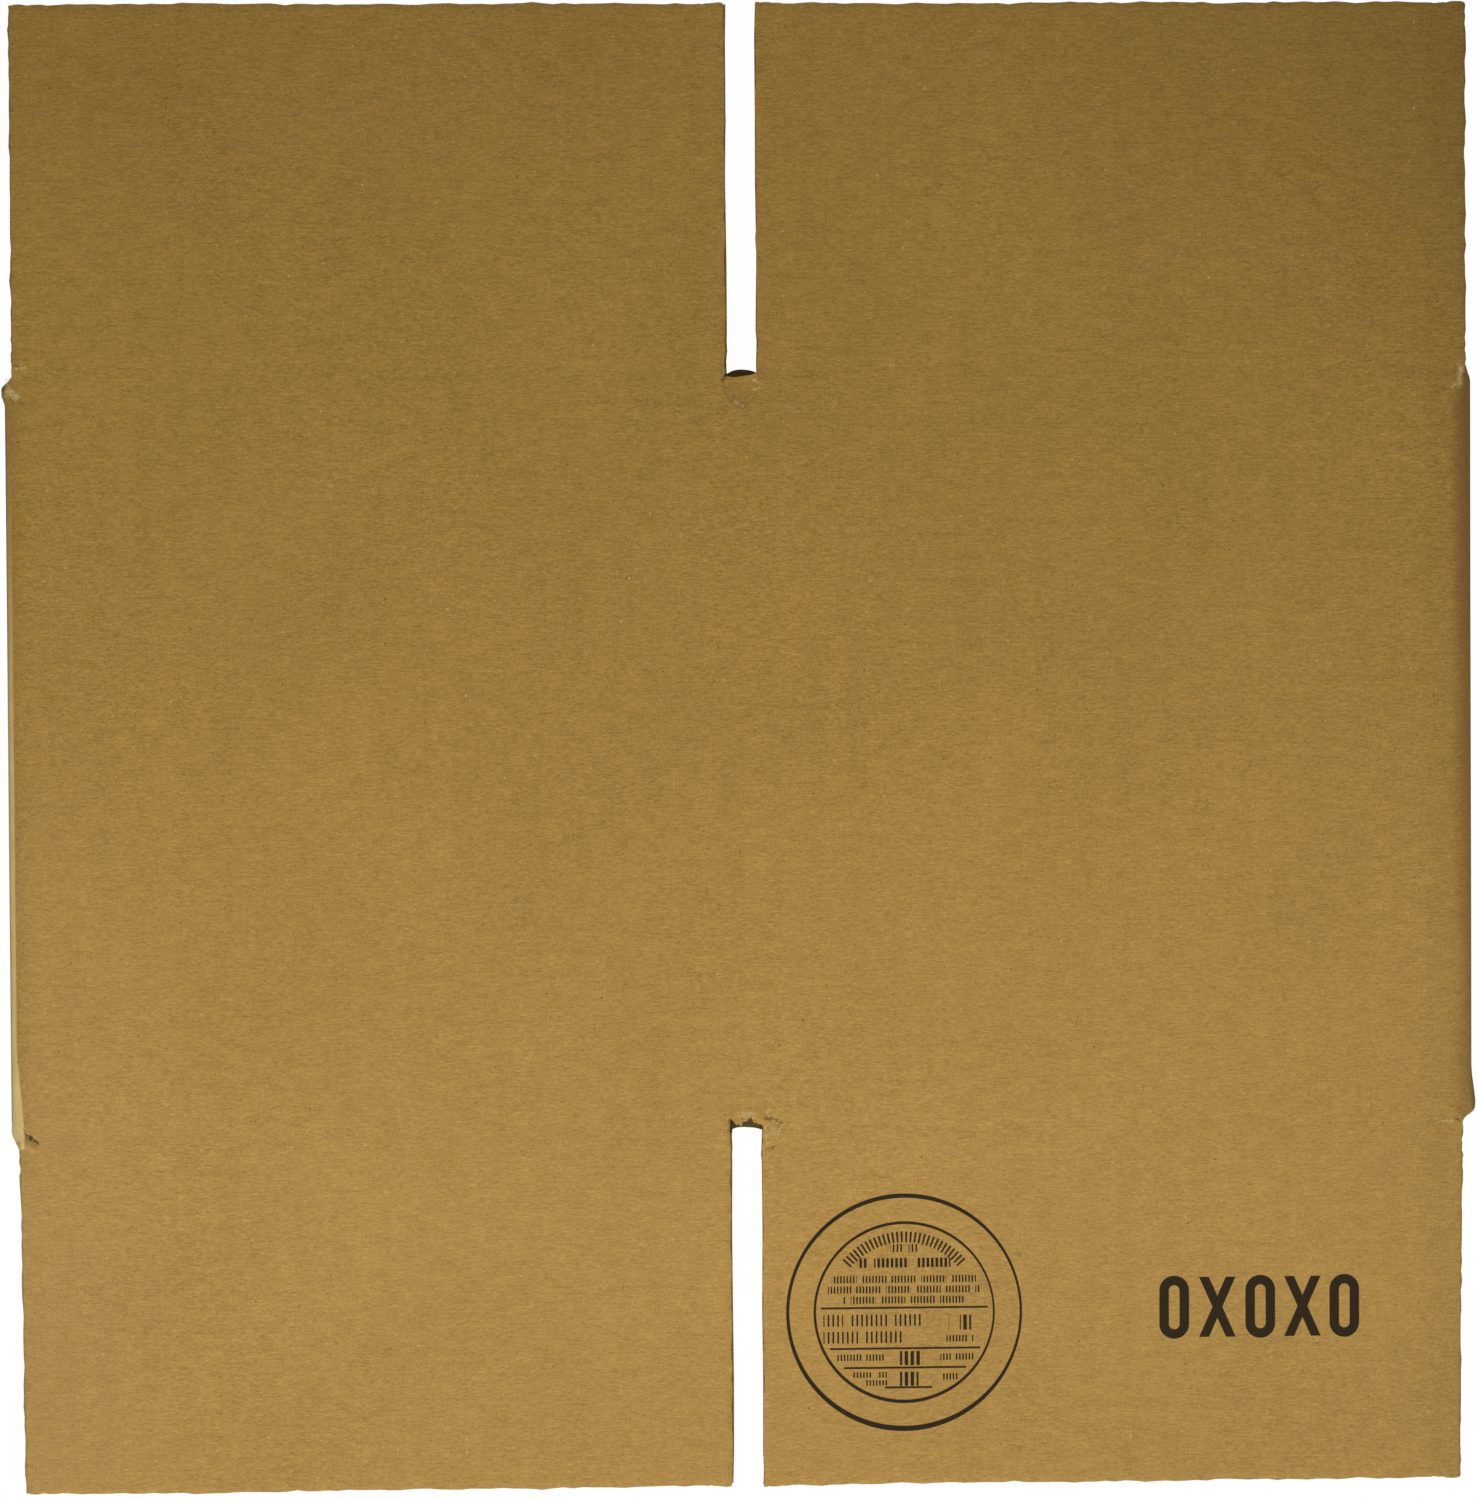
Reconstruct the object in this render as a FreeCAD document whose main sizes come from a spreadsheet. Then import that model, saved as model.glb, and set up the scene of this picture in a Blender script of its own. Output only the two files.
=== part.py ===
import FreeCAD, Part
import Sketcher
import math
import os

# A shipping box of single-wall corrugated board, knocked down flat as it leaves the maker.
# Four panels in a ring, eight flaps, and one glued tab: one sheet, so one solid.
# X runs across the flutes, Y runs along them, and Z is up through the two layers.

os.makedirs("parts", exist_ok=True)
doc = FreeCAD.newDocument("flat_box")
sheet = doc.addObject("Spreadsheet::Sheet", "sizes")


# the driving sizes, in millimetres and degrees
driving = {
    # the folded blank
    "box_width": 310.0,
    "body_depth": 160.0,
    "flap_length": 76.6,
    "inset_top": 1.8,
    "inset_left": 1.9,
    "inset_right": 2.6,
    "flap_lean": 0.7,
    "corner": 0.8,
    "worn_corner": 2.0,
    # the board: two liners and the fluted sheet between them
    "board": 4.0,
    "liner": 0.35,
    "medium": 0.3,
    "flute_pitch": 8.3,
    "flute_angle": 50.0,
    "crown_drop": 0.45,
    "layer_gap": 2.0,
    "fold_web": 20.0,
    # slots between the flaps, and the pressed lines where the flaps turn
    "slot_width": 6.3,
    "slot_left": 0.45,
    "slot_right": 0.15,
    "slot_past": 0.6,
    "slot_short": 0.2,
    "slot_round": 1.2,
    "press_width": 1.4,
    "press_depth": 0.15,
    # the joint behind: a crushed tab glued inside the next panel
    "seam_gap": 1.5,
    "seam_crush": 4.0,
    "tab_reach": 33.0,
    "tab_thick": 1.6,
    "tab_taper": 7.0,
    "tab_short": 1.5,
}

# what follows from those sizes
derived = {
    "half_width": "=box_width / 2",
    "half_height": "=body_depth / 2 + flap_length",
    "half_gap": "=layer_gap / 2",
    "half_thick": "=board + half_gap",
    "fold_middle": "=half_width - half_thick",
    "gap_end": "=fold_middle",
    "score": "=body_depth / 2",
    "flap_side": "=half_width - inset_top",
    "left_side": "=half_width - inset_left",
    "right_side": "=half_width - inset_right",
    "left_tip": "=left_side - flap_lean",
    "right_tip": "=right_side - flap_lean",
    "past_side": "=half_width + 1",
    "past_end": "=half_height + 1",
    "past_face": "=half_thick + 1",
    # one flute: the hollow under the wave and the hollow over it
    "flute_count": "=floor(2 * fold_middle / flute_pitch)",
    "half_run": "=flute_pitch * flute_count / 2",
    "wave_lean": "=tan(flute_angle * 1deg)",
    "wave_wall": "=medium / 2 / sin(flute_angle * 1deg)",
    "foot_half": "=flute_pitch / 4 + (board / 2 - liner) / wave_lean - wave_wall",
    "crown_rise": "=board / 2 - liner - medium - crown_drop",
    "crown_half": "=flute_pitch / 4 - crown_rise / wave_lean - wave_wall",
    "crown_round": "=(crown_half ^ 2 + crown_drop ^ 2) / 2 / crown_drop",
    "under_middle": "=half_run - flute_pitch / 4",
    "over_middle": "=half_run - flute_pitch * 3 / 4",
    "under_left": "=under_middle + foot_half",
    "under_right": "=under_middle - foot_half",
    "under_crown_left": "=under_middle + crown_half",
    "under_crown_right": "=under_middle - crown_half",
    "over_left": "=over_middle + foot_half",
    "over_right": "=over_middle - foot_half",
    "over_crown_left": "=over_middle + crown_half",
    "over_crown_right": "=over_middle - crown_half",
    "under_foot": "=half_gap + liner",
    "under_crown": "=half_gap + board / 2 + crown_rise",
    "over_foot": "=half_thick - liner",
    "over_crown": "=half_gap + board / 2 - crown_rise",
    "under_crown_middle": "=under_crown + crown_drop - crown_round",
    "over_crown_middle": "=over_crown - crown_drop + crown_round",
    # the hollow that is left in each fold, on both sides of the creased wave
    "fold_outer": "=half_thick - liner",
    "fold_inner": "=half_gap + liner",
    "web_sine": "=sin(fold_web * 1deg)",
    "web_cosine": "=cos(fold_web * 1deg)",
    "outer_low_x": "=fold_middle + fold_outer * web_cosine",
    "outer_low_z": "=fold_outer * web_sine",
    "outer_high_x": "=fold_middle + fold_outer * web_sine",
    "outer_high_z": "=fold_outer * web_cosine",
    "inner_low_x": "=fold_middle + fold_inner * web_cosine",
    "inner_low_z": "=fold_inner * web_sine",
    "inner_high_x": "=fold_middle + fold_inner * web_sine",
    "inner_high_z": "=fold_inner * web_cosine",
    # where the slots end
    "slot_half": "=slot_width / 2",
    "slot_flat": "=slot_half - slot_round",
    "top_left": "=slot_half + slot_left",
    "top_left_flat": "=slot_flat + slot_left",
    "top_right_flat": "=slot_flat - slot_left",
    "top_right": "=slot_half - slot_left",
    "top_end": "=score - slot_past",
    "top_bend": "=top_end + slot_round",
    "low_left": "=slot_half - slot_right",
    "low_left_flat": "=slot_flat - slot_right",
    "low_right_flat": "=slot_flat + slot_right",
    "low_right": "=slot_half + slot_right",
    "low_end": "=score - slot_short",
    "low_bend": "=low_end + slot_round",
    # pressed lines, and the joint
    "press_bottom": "=half_thick - press_depth",
    "press_half": "=press_width / 2",
    "press_out": "=score + press_half",
    "press_in": "=score - press_half",
    "tab_end": "=score - tab_short",
    "tab_far_end": "=tab_end - tab_taper",
    "tab_face": "=tab_thick - half_gap",
}

for row, (alias, content) in enumerate({**driving, **derived}.items(), start=1):
    sheet.set("A%d" % row, alias)
    sheet.set("B%d" % row, str(content))
    sheet.setAlias("B%d" % row, alias)
doc.recompute()


def value(name):
    # the number behind a name such as half_gap, -half_gap or 0
    if name == "0":
        return 0.0
    if name.startswith("-"):
        return -value(name[1:])
    return float(sheet.get(name))


def bound(name):
    # the same name as an expression that reads the sheet
    return "-sizes." + name[1:] if name.startswith("-") else "sizes." + name


def held(sketch, curve, point, x_name, y_name):
    # holds one point of a sketch at two sizes of the sheet
    for kind, axis, name in (("DistanceX", -2, x_name), ("DistanceY", -1, y_name)):
        if name is None:
            continue
        if name == "0":
            sketch.addConstraint(Sketcher.Constraint("PointOnObject", curve, point, axis))
            continue
        rule = Sketcher.Constraint(kind, -1, 1, curve, point, value(name))
        number = sketch.addConstraint(rule)
        sketch.setExpression("Constraints[%d]" % number, bound(name))


def outline(sketch, corners):
    # one closed outline of corners (x, y); a longer corner starts an arc:
    # x, y, the middle's x and y, the way it turns, and which of those two holds the middle
    first = sketch.GeometryCount
    count = len(corners)
    for n, corner in enumerate(corners):
        here = FreeCAD.Vector(value(corner[0]), value(corner[1]), 0)
        after = corners[(n + 1) % count]
        there = FreeCAD.Vector(value(after[0]), value(after[1]), 0)
        if len(corner) == 2:
            sketch.addGeometry(Part.LineSegment(here, there), False)
            continue
        middle = FreeCAD.Vector(value(corner[2]), value(corner[3]), 0)
        radius = (here - middle).Length
        start = math.atan2(here.y - middle.y, here.x - middle.x)
        stop = math.atan2(there.y - middle.y, there.x - middle.x)
        if corner[4] == "clockwise":
            start, stop = stop, start
        circle = Part.Circle(middle, FreeCAD.Vector(0, 0, 1), radius)
        sketch.addGeometry(Part.ArcOfCircle(circle, start, stop), False)
    for n, corner in enumerate(corners):
        here = first + n
        back = first + (n - 1) % count
        turned = len(corner) > 2 and corner[4] == "clockwise"
        back_turned = len(corners[n - 1]) > 2 and corners[n - 1][4] == "clockwise"
        head = 2 if turned else 1
        tail = 1 if back_turned else 2
        sketch.addConstraint(Sketcher.Constraint("Coincident", back, tail, here, head))
        held(sketch, here, head, corner[0], corner[1])
        if len(corner) > 2 and corner[5] == "x":
            held(sketch, here, 3, corner[2], None)
        if len(corner) > 2 and corner[5] == "y":
            held(sketch, here, 3, None, corner[3])


body = doc.addObject("PartDesign::Body", "flat_box")
body.Label = "flat_box"


def plane(role):
    # one of the body's own three planes
    return [o for o in body.Origin.OriginFeatures if o.Role == role][0]


def drawing(name, role, *outlines):
    # a sketch of closed outlines on one of those planes
    sketch = body.newObject("Sketcher::SketchObject", name)
    sketch.AttachmentSupport = [(plane(role), "")]
    sketch.MapMode = "FlatFace"
    for corners in outlines:
        outline(sketch, corners)
    return sketch


def both_ways(feature, toward, away):
    # lets a pad or pocket run to two sides of its sketch
    feature.SideType = "Two sides"
    feature.setExpression("Length", "sizes." + toward)
    feature.setExpression("Length2", "sizes." + away)


def box(left, low, right, high):
    # the four corners of an upright rectangle
    return [(left, low), (right, low), (right, high), (left, high)]


def other(name):
    # the name of the same size on the far side of zero
    if name == "0":
        return name
    return name[1:] if name.startswith("-") else "-" + name


def flip(corners):
    # the same outline in the layer beneath
    turn = {"clockwise": "anticlockwise", "anticlockwise": "clockwise"}
    low = []
    for corner in corners:
        spot = [corner[0], other(corner[1])]
        if len(corner) > 2:
            spot += [corner[2], other(corner[3]), turn[corner[4]], corner[5]]
        low.append(tuple(spot))
    return low


def swap(corners):
    # the same outline at the other fold
    turn = {"clockwise": "anticlockwise", "anticlockwise": "clockwise"}
    far = []
    for corner in corners:
        spot = [other(corner[0]), corner[1]]
        if len(corner) > 2:
            spot += [other(corner[2]), corner[3], turn[corner[4]], corner[5]]
        far.append(tuple(spot))
    return far


# the body of the box: two layers closed by a half-round fold at each side
ring = drawing("ring_outline", "XZ_Plane", [
    ("-fold_middle", "-half_thick"),
    ("fold_middle", "-half_thick", "fold_middle", "0", "anticlockwise", "x"),
    ("fold_middle", "half_thick"),
    ("-fold_middle", "half_thick", "-fold_middle", "0", "anticlockwise", "x"),
])
panels = body.newObject("PartDesign::Pad", "panels")
panels.Profile = ring
both_ways(panels, "score", "score")

# the flaps: the same two layers, flat out to their cut sides
boards = drawing(
    "flap_outline", "XZ_Plane",
    box("-flap_side", "half_gap", "flap_side", "half_thick"),
    box("-flap_side", "-half_thick", "flap_side", "-half_gap"),
)
flaps = body.newObject("PartDesign::Pad", "flaps")
flaps.Profile = boards
both_ways(flaps, "half_height", "half_height")

# the cuts through both layers: a slot at each end, and two trimmed flap sides
cuts = drawing(
    "cut_outline", "XY_Plane",
    [
        ("-top_left", "past_end"),
        ("-top_left", "top_bend", "-top_left_flat", "top_bend", "anticlockwise", "x"),
        ("-top_left_flat", "top_end"),
        ("top_right_flat", "top_end", "top_right_flat", "top_bend", "anticlockwise", "x"),
        ("top_right", "top_bend"),
        ("top_right", "past_end"),
    ],
    [
        ("-low_left", "-past_end"),
        ("-low_left", "-low_bend", "-low_left_flat", "-low_bend", "clockwise", "x"),
        ("-low_left_flat", "-low_end"),
        ("low_right_flat", "-low_end", "low_right_flat", "-low_bend", "clockwise", "x"),
        ("low_right", "-low_bend"),
        ("low_right", "-past_end"),
    ],
    [
        ("-past_side", "-past_end"), ("-left_tip", "-past_end"),
        ("-left_tip", "-half_height"), ("-left_side", "-score"), ("-past_side", "-score"),
    ],
    [
        ("past_side", "-past_end"), ("right_tip", "-past_end"),
        ("right_tip", "-half_height"), ("right_side", "-score"), ("past_side", "-score"),
    ],
)
slots = body.newObject("PartDesign::Pocket", "slots")
slots.Profile = cuts
both_ways(slots, "past_face", "past_face")

def upright_edges(shape, spots):
    # the names of the upright edges that stand on the given spots
    names = []
    for n, edge in enumerate(shape.Edges):
        box_of = edge.BoundBox
        if box_of.ZLength < value("board") / 2 or box_of.XLength + box_of.YLength > 0.01:
            continue
        for x, y in spots:
            if abs(box_of.XMin - x) + abs(box_of.YMin - y) < 0.01:
                names.append("Edge%d" % (n + 1))
    return names


def rounded(name, under, alias, spots):
    # rounds the corners that stand on those spots
    doc.recompute()
    fillet = body.newObject("PartDesign::Fillet", name)
    fillet.Base = (under, upright_edges(under.Shape, spots))
    fillet.setExpression("Radius", "sizes." + alias)
    return fillet


# the die's corners: one is worn rounder than the others
top = value("half_height")
ends = [
    (-value("flap_side"), top), (-value("top_left"), top), (value("top_right"), top),
    (-value("left_tip"), -top), (-value("low_left"), -top), (value("low_right"), -top),
    (value("right_tip"), -top),
]
corners = rounded("corners", slots, "corner", ends)
worn = rounded("worn", corners, "worn_corner", [(value("flap_side"), top)])

# the air between the two layers, rounded where the inner liner turns back
air = drawing("gap_outline", "XZ_Plane", [
    ("-gap_end", "-half_gap"),
    ("gap_end", "-half_gap", "gap_end", "0", "anticlockwise", "x"),
    ("gap_end", "half_gap"),
    ("-gap_end", "half_gap", "-gap_end", "0", "anticlockwise", "x"),
])
gap = body.newObject("PartDesign::Pocket", "gap")
gap.Profile = air
both_ways(gap, "past_end", "past_end")

# the hollows left inside each fold
hollow = [
    ("outer_low_x", "outer_low_z", "fold_middle", "0", "anticlockwise", "x"),
    ("outer_high_x", "outer_high_z"),
    ("inner_high_x", "inner_high_z", "fold_middle", "0", "clockwise", "x"),
    ("inner_low_x", "inner_low_z"),
]
bends = drawing(
    "fold_outline", "XZ_Plane", hollow, flip(hollow), swap(hollow), swap(flip(hollow))
)
folds = body.newObject("PartDesign::Pocket", "folds")
folds.Profile = bends
both_ways(folds, "past_end", "past_end")

# the first flute of both layers, then the rest of them at one pitch
under = [
    ("-under_left", "under_foot"),
    ("-under_right", "under_foot"),
    ("-under_crown_right", "under_crown", "-under_middle", "under_crown_middle", "anticlockwise", "y"),
    ("-under_crown_left", "under_crown"),
]
over = [
    ("-over_left", "over_foot"),
    ("-over_right", "over_foot"),
    ("-over_crown_right", "over_crown", "-over_middle", "over_crown_middle", "clockwise", "y"),
    ("-over_crown_left", "over_crown"),
]
wave = drawing("flute_outline", "XZ_Plane", under, over, flip(under), flip(over))
flute = body.newObject("PartDesign::Pocket", "flute")
flute.Profile = wave
both_ways(flute, "past_end", "past_end")
flutes = body.newObject("PartDesign::LinearPattern", "flutes")
flutes.Originals = [flute]
flutes.Direction = (wave, ["H_Axis"])
flutes.Mode = "Spacing"
flutes.setExpression("Offset", "sizes.flute_pitch")
flutes.setExpression("Occurrences", "sizes.flute_count")
body.Tip = flutes

# the pressed lines: one across each row of flaps on both faces, one down the front
crease = [
    ("press_in", "past_face"), ("press_in", "half_thick"), ("score", "press_bottom"),
    ("press_out", "half_thick"), ("press_out", "past_face"),
]
across = drawing(
    "press_outline", "YZ_Plane", crease, flip(crease), swap(crease), swap(flip(crease))
)
presses = body.newObject("PartDesign::Pocket", "presses")
presses.Profile = across
both_ways(presses, "past_side", "past_side")
along = drawing("centre_outline", "XZ_Plane", [
    ("-press_half", "past_face"), ("-press_half", "half_thick"), ("0", "press_bottom"),
    ("press_half", "half_thick"), ("press_half", "past_face"),
])
centre = body.newObject("PartDesign::Pocket", "centre")
centre.Profile = along
both_ways(centre, "score", "score")

# the seam behind: the next panel stops short, and this one is crushed down into the tab
opening = drawing(
    "seam_outline", "XZ_Plane", box("-seam_crush", "-past_face", "seam_gap", "-half_gap")
)
seam = body.newObject("PartDesign::Pocket", "seam")
seam.Profile = opening
both_ways(seam, "score", "score")
slope = drawing("crush_outline", "XZ_Plane", [
    ("-seam_crush", "-half_thick"), ("0", "-half_gap"), ("-seam_crush", "-half_gap"),
])
crush = body.newObject("PartDesign::Pad", "crush")
crush.Profile = slope
both_ways(crush, "score", "score")
tongue = drawing("tab_outline", "XY_Plane", [
    ("-seam_crush", "-tab_end"), ("seam_gap", "-tab_end"), ("tab_reach", "-tab_far_end"),
    ("tab_reach", "tab_far_end"), ("seam_gap", "tab_end"), ("-seam_crush", "tab_end"),
])
tab = body.newObject("PartDesign::Pad", "tab")
tab.Profile = tongue
both_ways(tab, "tab_face", "half_gap")
body.setExpression("Placement.Base.z", "sizes.half_thick")

doc.recompute()
for item in doc.Objects:
    if "Invalid" in item.State or "Error" in item.State:
        raise SystemExit("not solved: " + item.Name)
if body.Shape.isNull() or not body.Shape.isValid():
    raise SystemExit("no valid shape: " + body.Label)
body.Shape.exportStep("parts/" + body.Label + ".step")
print(body.Label, round(body.Shape.Volume), body.Shape.BoundBox, len(body.Shape.Solids))
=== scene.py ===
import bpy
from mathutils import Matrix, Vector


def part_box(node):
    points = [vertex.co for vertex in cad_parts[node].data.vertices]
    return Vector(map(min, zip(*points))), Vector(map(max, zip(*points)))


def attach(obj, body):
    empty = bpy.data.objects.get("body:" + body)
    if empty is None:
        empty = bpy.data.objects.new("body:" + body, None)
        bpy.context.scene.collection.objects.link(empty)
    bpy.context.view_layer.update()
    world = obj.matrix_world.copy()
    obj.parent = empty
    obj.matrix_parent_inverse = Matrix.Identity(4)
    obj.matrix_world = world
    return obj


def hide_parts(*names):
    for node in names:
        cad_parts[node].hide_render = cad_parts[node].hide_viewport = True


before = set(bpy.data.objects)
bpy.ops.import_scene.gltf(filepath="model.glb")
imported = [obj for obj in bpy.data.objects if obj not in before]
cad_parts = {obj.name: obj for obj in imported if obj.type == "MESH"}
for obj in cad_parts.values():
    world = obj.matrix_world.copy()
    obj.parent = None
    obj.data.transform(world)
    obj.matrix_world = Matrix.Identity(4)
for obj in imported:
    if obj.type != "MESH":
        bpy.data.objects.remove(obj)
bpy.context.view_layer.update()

import math

import bpy
import numpy as np
from mathutils import Vector, noise


# The outer liner of the upper side: one sheet of brown paper over two panels and their four
# flaps, bent round the upper half of both folds. It is printed, slotted and creased before
# folding, so its cut edges are a little ragged and it dips between the flutes.

half_width, half_height, top_face = (side * 1000 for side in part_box("flat_box")[1])
middle = top_face / 2
board = 4.0
paper_thick = 0.35
bend_start = half_width - middle
bend_end = bend_start + middle * math.pi / 2
score = 80.0
flap_side = half_width - 1.8
slot_half = 3.15
upper_slot_end = 79.4
lower_slot_end = -79.8
pitch = 8.3
flutes = 36
flute_margin = 0.6
first_crest = -bend_start + flute_margin + pitch / 4
on_line = 0.02

# small errors of the cuts: the lower flaps' sides stand in, and more so towards their ends,
# the slots are off their place and wider than drawn, and the under side has slid across
left_inset, right_inset, inset_growth = 0.1, 0.8, 0.7
inset_from = 142.0
upper_slot_off, upper_slot_wider, lower_slot_wider = -0.2, 0.2, 0.24
slot_error_reach = 30.0
under_shift = 0.6
end_inset = 0.12

# where each fold gives way to its flaps, from all folded to none: lower left, upper left,
# lower right, upper right
fold_ends = (80.3, 84.8), (76.8, 79.4), (78.3, 80.4), (76.5, 81.5)

# the paper's torn line over the upper and under the lower slot's end, on each side of the
# box: distance past the end, slope, roundness and raggedness
tear_reach = 7.0
upper_side_tears = (-1.2, 0.35, 0.5, 0.12), (0.8, -0.3, -0.2, 1.2)
under_side_tears = (0.45, 0.0, -0.9, 0.06), (-1.0, -0.15, -0.55, 0.06)


def lines(start, *stretches):
    # grid lines from start through each (stop, step), evenly spaced within a stretch
    found = [start]
    for stop, step in stretches:
        count = max(1, round((stop - found[-1]) / step))
        found += list(np.linspace(found[-1], stop, count + 1)[1:])
    return found


def mirrored(half):
    # the same lines on both sides of zero
    return sorted({-v for v in half} | set(half))


def soft_step(value, start, stop):
    # 0 before start, 1 after stop, smooth between
    t = np.clip((value - start) / (stop - start), 0, 1)
    return t * t * (3 - 2 * t)


def ragged(values, scale, seed):
    # a smooth random line of about -1 to 1, the same each run
    return np.array([noise.noise(Vector((v * scale, seed, seed * 0.37))) * 2 for v in values])


class Sheet:
    # a sheet of the folded board, as a grid: s is the way round the fold, y the way along it

    def __init__(self, columns, rows, seed, upper=True):
        self.s, self.y = np.meshgrid(np.array(columns), np.array(rows))
        self.columns = np.array(columns)
        self.rows = np.array(rows)
        self.upper = upper
        self.x = self.cut_places(seed)
        edges = [np.argmin(np.abs(self.columns - place)) for place in (-flap_side, flap_side)]
        self.edge = np.where(self.s < 0, self.x[:, edges[:1]], self.x[:, edges[1:]])
        self.folded = self.fold_share()
        self.across = self.cut_ends(seed)
        self.keep = self.cells()

    def cut_places(self, seed):
        # x of every point on the flat, with the errors and the ragged line of the cuts
        s, y = self.s, self.y
        side = np.sign(s)
        along = np.clip((np.abs(y) - score) / (half_height - score), 0, 1)
        inset = np.where(side < 0, left_inset, right_inset) + inset_growth * along
        inset = inset * (y < 0) * soft_step(np.abs(s), inset_from, flap_side)
        inset = inset * soft_step(np.abs(y), score - 0.5, score)
        # the under side slides at its flaps, on both sides of its middle line
        slide = 0 if self.upper else under_shift
        slid = slide * np.abs(side) * soft_step(np.abs(y), score - 4, score)
        upper_error = upper_slot_off + side * upper_slot_wider
        slot_error = np.where(y > 0, upper_error, side * lower_slot_wider)
        near_slot = 1 - soft_step(np.abs(s), slot_half, slot_error_reach)
        slot_error = slot_error * near_slot * soft_step(np.abs(y), score - 20, score)
        rag = np.zeros_like(s)
        for k, place in enumerate((-flap_side, -slot_half, slot_half, flap_side)):
            line = ragged(self.rows, 0.9, seed + k) * 0.13
            line = line + ragged(self.rows, 0.35, seed + 5 + k) * 0.12
            cut = (np.abs(s - place) < on_line) & (np.abs(y) > score + 0.05)
            rag = np.where(cut, rag + line[:, None], rag)
        return s - side * inset + slid + rag + slot_error

    def fold_share(self):
        # 1 where the sheet is folded over, 0 where it runs out flat into the flaps
        start, stop = (
            np.where(self.s < 0, np.where(self.y < 0, a, b), np.where(self.y < 0, c, d))
            for a, b, c, d in zip(*fold_ends)
        )
        return 1 - soft_step(np.abs(self.y), start, stop)

    def cut_ends(self, seed):
        # y of every point on the flat: ragged at the flaps' ends, and torn at the slots' ends
        y = self.y
        ends = np.abs(np.abs(y) - half_height) < on_line
        rim = ragged(self.columns, 0.22, seed + 9) * 0.22
        rim = rim + ragged(self.columns, 1.1, seed + 10) * 0.1
        across = y + np.where(ends, np.sign(y) * (rim - end_inset), 0)
        torn = ragged(self.columns, 1.6, seed + 20)
        place = self.s / slot_half
        tears = upper_side_tears if self.upper else under_side_tears
        up, down = (
            past + slope * place + roundness * place ** 2 + raggedness * torn
            for past, slope, roundness, raggedness in tears
        )
        above = y - lower_slot_end
        below = upper_slot_end - y
        near_up = np.clip(1 - below / tear_reach, 0, 1) * (below >= -on_line / 2) * (y > 0)
        near_down = np.clip(1 - above / tear_reach, 0, 1) * (above >= -on_line / 2) * (y < 0)
        return across + (np.abs(self.s) < slot_half + on_line) * (up * near_up + down * near_down)

    def cells(self):
        # which squares of the grid are paper: not the slots, and not past the flaps' sides
        s = (self.s[1:, 1:] + self.s[:-1, :-1]) / 2
        y = (self.y[1:, 1:] + self.y[:-1, :-1]) / 2
        slot = (np.abs(s) < slot_half) & ((y > upper_slot_end) | (y < lower_slot_end))
        folded = (self.folded[1:, 1:] + self.folded[:-1, :-1]) / 2
        beside = (np.abs(s) > flap_side) & (folded < 0.02)
        return ~(slot | beside)

    def face(self, radius, lift):
        # the sheet's surface at that distance from the middle of the fold, lifted by the relief
        side = np.sign(self.s)
        turn = np.clip((np.abs(self.s) - bend_start) / middle, 0, math.pi / 2)
        round_x = side * (bend_start + (radius + lift * 0.5) * np.sin(turn))
        round_z = middle + (radius + lift * np.cos(turn)) * np.cos(turn)
        past = np.abs(self.s) > flap_side + on_line / 2
        flat_x = np.where(past, side * np.minimum(np.abs(round_x), np.abs(self.edge)), self.x)
        flat_z = np.where(past, round_z, middle + radius + lift)
        bent = (np.abs(self.s) > bend_start) * self.folded
        x = flat_x + (round_x - flat_x) * bent
        z = flat_z + (round_z - flat_z) * bent
        if not self.upper:
            z = top_face - z
        return np.stack([x, self.across, z], 2)


def closed_mesh(name, outer, inner, keep, flip):
    # a closed skin over two grids of points that face away from each other
    rows, columns = keep.shape
    index = np.arange((rows + 1) * (columns + 1)).reshape(rows + 1, columns + 1)
    total = index.size
    quads = []

    def add(a, b, c, d):
        quads.append(np.stack([a, b, c, d], 1) if not flip else np.stack([d, c, b, a], 1))

    r, c = np.nonzero(keep)
    corner = index[r, c], index[r, c + 1], index[r + 1, c + 1], index[r + 1, c]
    add(*corner)
    add(*(v + total for v in reversed(corner)))
    wide = np.pad(keep, 1)
    inside = wide[1:-1, 1:-1]
    for step_r, step_c, first, second in (
        (-1, 0, (0, 0), (0, 1)), (1, 0, (1, 1), (1, 0)),
        (0, -1, (1, 0), (0, 0)), (0, 1, (0, 1), (1, 1)),
    ):
        beyond = wide[1 + step_r:rows + 1 + step_r, 1 + step_c:columns + 1 + step_c]
        r, c = np.nonzero(inside & ~beyond)
        a = index[r + first[0], c + first[1]]
        b = index[r + second[0], c + second[1]]
        add(b, a, a + total, b + total)
    faces = np.concatenate(quads)
    points = np.concatenate([outer.reshape(-1, 3), inner.reshape(-1, 3)]) / 1000
    used, faces = np.unique(faces, return_inverse=True)
    mesh = bpy.data.meshes.new(name)
    mesh.from_pydata(points[used].tolist(), [], faces.reshape(-1, 4).tolist())
    return finished(name, mesh)


def finished(name, mesh):
    # puts a finished mesh in the scene as a piece that goes with the box
    mesh.shade_smooth()
    mesh.set_sharp_from_angle(angle=math.radians(35))
    piece = bpy.data.objects.new(name, mesh)
    bpy.context.scene.collection.objects.link(piece)
    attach(piece, "root")
    return piece


def gauss(distance, width):
    # a smooth bump of height 1
    return np.exp(-(distance / width) ** 2)


def mark(x, y, centre, angle, length, width):
    # a long thin bump of height 1, lying at that angle
    turn = math.radians(angle)
    along = (x - centre[0]) * math.cos(turn) + (y - centre[1]) * math.sin(turn)
    across = -(x - centre[0]) * math.sin(turn) + (y - centre[1]) * math.cos(turn)
    return gauss(across, width) * gauss(along, length / 2)


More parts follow.
